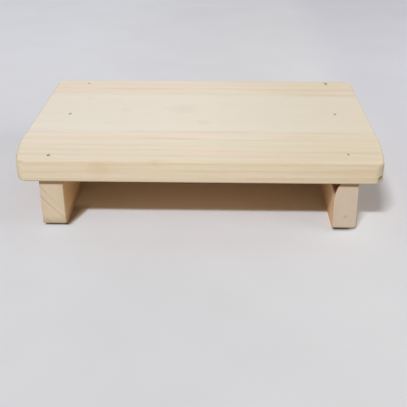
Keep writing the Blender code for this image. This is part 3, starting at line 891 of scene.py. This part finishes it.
# On the wane the log's skin is bare, in strips of dark bark and redder bast, and the end has a dark fleck
log_place = add_node(tree, "ShaderNodeMapping", {
    "Vector": coords["Object"], "Location": -(Euler(LOG_TURN).to_matrix() @ log_front) / MM,
    "Rotation": LOG_TURN, "Scale": (1 / MM, 1 / MM, 1 / MM)}).outputs[0]
reach = reckon_vector(tree, "LENGTH", reckon_vector(tree, "MULTIPLY", log_place, (0, 1, 1)))
bare = ease(tree, reach, LOG_RADIUS / MM - BARE_DEPTHS[0], LOG_RADIUS / MM - BARE_DEPTHS[1])
bare = reckon(tree, "MULTIPLY", bare, ease(tree, where["Z"], log_front.z - MM, log_front.z + BARE_RISE))
bare = reckon(tree, "MULTIPLY", bare, reckon(tree, "SUBTRACT", 1.0, wood["End Grain"]))
strips = grain_noise(tree, place, (0.03, 0.5, 0.5), 4.0, 0.6)
skin = tint(tree, "MIX", ease(tree, strips, 0.50, 0.66), BARK, BAST)
colour = tint(tree, "MIX", bare, colour, skin)
from_fleck = reckon_vector(tree, "DISTANCE", coords["Object"], FLECK_PLACE)
colour = tint(tree, "MULTIPLY", ease(tree, from_fleck, *FLECK_SIZE, 1.0, 0.0), colour, FLECK)
relief = reckon(tree, "MULTIPLY_ADD", reckon(tree, "MULTIPLY", strips, bare), BAST_RELIEF, relief)
finish_wood(right_material, colour, wood["Roughness"], relief, FOOT_BUMP, FOOT_SHINE)
right_foot.data.materials.append(right_material)
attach(right_foot, "root")
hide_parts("right_foot")
bpy.data.objects.remove(nail_holes)


# The nails: lost-head nails of plain steel wire, with a small cupped head that a punch takes, a
# tapered neck, a round shank and a four-sided cut point. They are driven from above until the
# heads sit just under the plank's surface, where they have darkened.

NAIL_SIDES = 32
CUP_RADIUS = 0.6 * MM
CUP_DEPTH = 0.3 * MM
HEAD_ROUND = 0.25 * MM
POINT_LENGTH = 4 * MM
STEEL = (0.050, 0.044, 0.038, 1)
RUST = (0.060, 0.034, 0.020, 1)
RUST_SCALE = 1400.0
PIT_DEPTH = 0.1 * MM

steel = bpy.data.materials.new("dark_steel")
steel.use_nodes = True
tree = steel.node_tree
coords = add_node(tree, "ShaderNodeTexCoord").outputs
blotches = add_node(tree, "ShaderNodeTexNoise", {
    "Vector": coords["Object"], "Scale": RUST_SCALE, "Detail": 4.0}).outputs[0]
rusted = ease(tree, blotches, 0.45, 0.62)
shader = tree.nodes["Principled BSDF"]
tree.links.new(tint(tree, "MIX", rusted, STEEL, RUST), shader.inputs["Base Color"])
tree.links.new(reckon(tree, "MULTIPLY_ADD", rusted, 0.35, 0.45), shader.inputs["Roughness"])
tree.links.new(reckon(tree, "MULTIPLY_ADD", rusted, -0.5, 0.6), shader.inputs["Metallic"])
pitted = add_node(tree, "ShaderNodeBump", {"Height": blotches, "Strength": 0.4, "Distance": PIT_DEPTH})
tree.links.new(pitted.outputs[0], shader.inputs["Normal"])

for nail in NAILS:
    head = nail_top(nail)
    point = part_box(nail)[0].z - head.z
    nail_bm = bmesh.new()
    turn_profile(nail_bm, head, (
        (0.0, -CUP_DEPTH),
        (0.5 * CUP_RADIUS, -0.75 * CUP_DEPTH),
        (CUP_RADIUS, 0.0),
        (HEAD_RADIUS - HEAD_ROUND, 0.0),
        (HEAD_RADIUS - 0.3 * HEAD_ROUND, -0.3 * HEAD_ROUND),
        (HEAD_RADIUS, -HEAD_ROUND),
        (HEAD_RADIUS, -HEAD_HEIGHT),
        (SHANK_RADIUS, -HEAD_HEIGHT - NECK_LENGTH),
        (SHANK_RADIUS, point),
        (0.0, point),
    ), NAIL_SIDES)
    close_up(nail_bm)
    for struck in range(4):
        turn = math.tau * (struck + 0.5) / 4
        flat = Vector((POINT_LENGTH * math.cos(turn), POINT_LENGTH * math.sin(turn), -SHANK_RADIUS))
        saw_off(nail_bm, head + Vector((0, 0, point)), flat.normalized())
    close_up(nail_bm)
    body = keep_mesh(nail_bm, nail + "_steel")
    smooth_skin(body)
    body.data.materials.append(steel)
    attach(body, "root")
    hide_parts(nail)


# The floor: a plain pale surface under the board, faintly clouded, that takes the shadow. Seen from
# below it is clear, and it lies a hair above the soles of the feet, so that the underside of the
# board can be looked at in the light of the room.

FLOOR_RADIUS = 9.0
FLOOR_SIDES = 96
FLOOR_RISE = 0.1 * MM
FLOOR_ROUGHNESS = 0.85
FLOOR_SHINE = 0.15
FLOOR_GREY = (0.635, 0.634, 0.655, 1)
FLOOR_CLOUD = (0.650, 0.652, 0.675, 1)
FLOOR_FAR = (1.08, 1.08, 1.09, 1)
FLOOR_COOL_LIGHT = (1.045, 1.095, 1.145, 1)
FLOOR_LEFT_LIGHT = (1.065, 1.07, 1.085, 1)
FLOOR_RIGHT_SHADE = (0.92, 0.91, 0.945, 1)
FLOOR_UNDER_BOUNCE = (1.075, 1.0, 0.86, 1)
FLOOR_NOOK_SHADOW = (0.60, 0.47, 0.33, 1)
FLOOR_TOE_SHADOW = (0.57, 0.475, 0.40, 1)
FLOOR_FEET_BOUNCE = (1.35, 1.03, 0.72, 1)
NOOK_SLOPE = 0.31

floor_bm = bmesh.new()
bmesh.ops.create_circle(floor_bm, cap_ends=True, segments=FLOOR_SIDES, radius=FLOOR_RADIUS,
                        matrix=Matrix.Translation((0, 0, FLOOR_RISE)))
floor = keep_mesh(floor_bm, "floor")
floor_material = bpy.data.materials.new("pale_floor")
floor_material.use_nodes = True
tree = floor_material.node_tree
coords = add_node(tree, "ShaderNodeTexCoord").outputs
clouds = add_node(tree, "ShaderNodeTexNoise", {
    "Vector": coords["Object"], "Scale": 9.0, "Detail": 3.0}).outputs[0]
shader = tree.nodes["Principled BSDF"]
colour = tint(tree, "MIX", ease(tree, clouds, 0.3, 0.7), FLOOR_GREY, FLOOR_CLOUD)


def tone_patch(colour, tone, *limits):
    """Tones the floor where all limits hold, each a value with where it starts and where it is full."""
    mask = None
    for value, start, full in limits:
        held = ease(tree, value, start, full)
        mask = held if mask is None else reckon(tree, "MULTIPLY", mask, held)
    return tint(tree, "MULTIPLY", mask, colour, tone)


# The floor is a little lighter far away. Soft patches of painted light and shade lie on it: lighter to the
# left, darker to the right, cool in front of the board, warm under it and round its feet, where bare wood
# throws its colour onto the floor
where = add_node(tree, "ShaderNodeSeparateXYZ", {0: coords["Object"]}).outputs
across = where["X"]
back = where["Y"]
aside = reckon(tree, "ABSOLUTE", across)
colour = tone_patch(colour, FLOOR_LEFT_LIGHT, (across, 0.05, -0.30))
colour = tone_patch(colour, FLOOR_RIGHT_SHADE, (across, 0.17, 0.28))
colour = tone_patch(colour, FLOOR_FAR, (back, -0.05, 0.6))
# Painted cool light in front of the board and painted warm light under it
colour = tone_patch(colour, FLOOR_COOL_LIGHT, (back, -0.085, -0.100), (back, -0.180, -0.125), (aside, 0.22, 0.12))
colour = tone_patch(colour, FLOOR_UNDER_BOUNCE, (back, -0.105, -0.085), (back, 0.15, 0.12), (aside, 0.16, 0.14))
# Painted shadow beside the left foot and under the right toe
slant = reckon(tree, "MULTIPLY_ADD", back, -NOOK_SLOPE, across)
nook_edge = left_high.x - NOOK_SLOPE * left_low.y
colour = tone_patch(colour, FLOOR_NOOK_SHADOW, (slant, nook_edge + 6 * MM, nook_edge),
                    (across, left_high.x - 5 * MM, left_high.x),
                    (back, left_low.y, left_low.y + 7 * MM), (back, -0.080, -0.098))
colour = tone_patch(colour, FLOOR_TOE_SHADOW, (back, right_low.y - 2 * MM, right_low.y + 4 * MM),
                    (back, right_low.y + 9 * MM, right_low.y + 4 * MM),
                    (across, right_low.x - MM, right_low.x + 3 * MM),
                    (across, right_high.x, right_high.x - 10 * MM))
# Painted warm light on the floor round the toes of the feet
colour = tone_patch(colour, FLOOR_FEET_BOUNCE, (aside, 0.1445, 0.1485), (aside, 0.173, 0.169),
                    (reckon(tree, "ABSOLUTE", back), 0.1365, 0.131))
tree.links.new(colour, shader.inputs["Base Color"])
shader.inputs["Roughness"].default_value = FLOOR_ROUGHNESS
shader.inputs["Specular IOR Level"].default_value = FLOOR_SHINE
clear = add_node(tree, "ShaderNodeBsdfTransparent").outputs[0]
from_below = add_node(tree, "ShaderNodeNewGeometry").outputs["Backfacing"]
shown = add_node(tree, "ShaderNodeMixShader", {0: from_below, 1: shader.outputs[0], 2: clear})
tree.links.new(shown.outputs[0], tree.nodes["Material Output"].inputs["Surface"])
floor.data.materials.append(floor_material)


# The light: one long soft lamp in front, above and to the left, a weak and slightly warm one near the
# right end, and an evenly pale room. Together they light a level surface so that a colour shows about
# as it is written.

LAMP_SHARE = 0.595
FILL_SHARE = 0.25
ROOM_SHARE = 0.28
LAMP_TRAVEL = Vector((0.30, 0.82, -1.0))
LAMP_HEIGHT = 12.0
LAMP_SPREAD = 0.27
LAMP_DEPTH = 0.07
LAMP_WHITE = (1.0, 1.0, 1.0)
ROOM_SHOWN = (0.68, 0.685, 0.71, 1)
FILL_SPOT = Vector((0.20, 0.0, 0.0))
FILL_TRAVEL = Vector((-0.90, 0.15, -0.55))
FILL_SIZE = (1.2, 0.8)
FILL_WARMTH = (1.0, 0.98, 0.90)


def hang_lamp(name, spot, travel, width, depth, share, colour):
    """A flat lamp that lights a level surface at one spot with the given share of the light."""
    lamp = bpy.data.lights.new(name, "AREA")
    lamp.shape = "RECTANGLE"
    lamp.size = width
    lamp.size_y = depth
    lamp.color = colour
    lamp.energy = share * (math.pi * travel.length) ** 2 * travel.length / -travel.z
    hung = bpy.data.objects.new(name, lamp)
    hung.location = spot - travel
    hung.rotation_euler = travel.to_track_quat("-Z", "Y").to_euler()
    bpy.context.scene.collection.objects.link(hung)


hang_lamp("long_lamp", Vector((0, 0, 0)), LAMP_TRAVEL * LAMP_HEIGHT, LAMP_SPREAD * LAMP_HEIGHT,
          LAMP_DEPTH * LAMP_HEIGHT, LAMP_SHARE, LAMP_WHITE)
hang_lamp("fill_lamp", FILL_SPOT, FILL_TRAVEL, *FILL_SIZE, FILL_SHARE, FILL_WARMTH)

world = bpy.data.worlds.new("pale_room")
bpy.context.scene.world = world
world.use_nodes = True
tree = world.node_tree
lit = tree.nodes["Background"]
lit.inputs["Color"].default_value = (1, 1, 1, 1)
lit.inputs["Strength"].default_value = ROOM_SHARE
seen = add_node(tree, "ShaderNodeBackground", {"Color": ROOM_SHOWN, "Strength": 1.0})
path = add_node(tree, "ShaderNodeLightPath").outputs
straight = reckon(tree, "MAXIMUM", path["Is Camera Ray"], path["Is Glossy Ray"])
straight = reckon(tree, "MAXIMUM", straight, path["Is Transmission Ray"])
room = add_node(tree, "ShaderNodeMixShader", {0: straight, 1: lit.outputs[0], 2: seen.outputs[0]})
tree.links.new(room.outputs[0], tree.nodes["World Output"].inputs["Surface"])


# The camera: in front of the board and a little to its right, looking down on the plank, with the
# focal length of a short telephoto lens.

CAMERA_PLACE = (0.02588, -0.84618, 0.38711)
CAMERA_YAW = 1.603
CAMERA_PITCH = 26.776
CAMERA_ROLL = -0.134
CAMERA_LENS = 64.645
CAMERA_SENSOR = 36.0

view = bpy.data.cameras.new("view")
view.sensor_width = CAMERA_SENSOR
view.lens = CAMERA_LENS
camera = bpy.data.objects.new("view", view)
aim = Matrix.Rotation(math.radians(CAMERA_YAW), 4, "Z")
aim = aim @ Matrix.Rotation(math.radians(90 - CAMERA_PITCH), 4, "X")
aim = aim @ Matrix.Rotation(math.radians(CAMERA_ROLL), 4, "Z")
camera.matrix_world = Matrix.Translation(CAMERA_PLACE) @ aim
bpy.context.scene.collection.objects.link(camera)
bpy.context.scene.camera = camera
bpy.context.scene.view_settings.view_transform = "Standard"
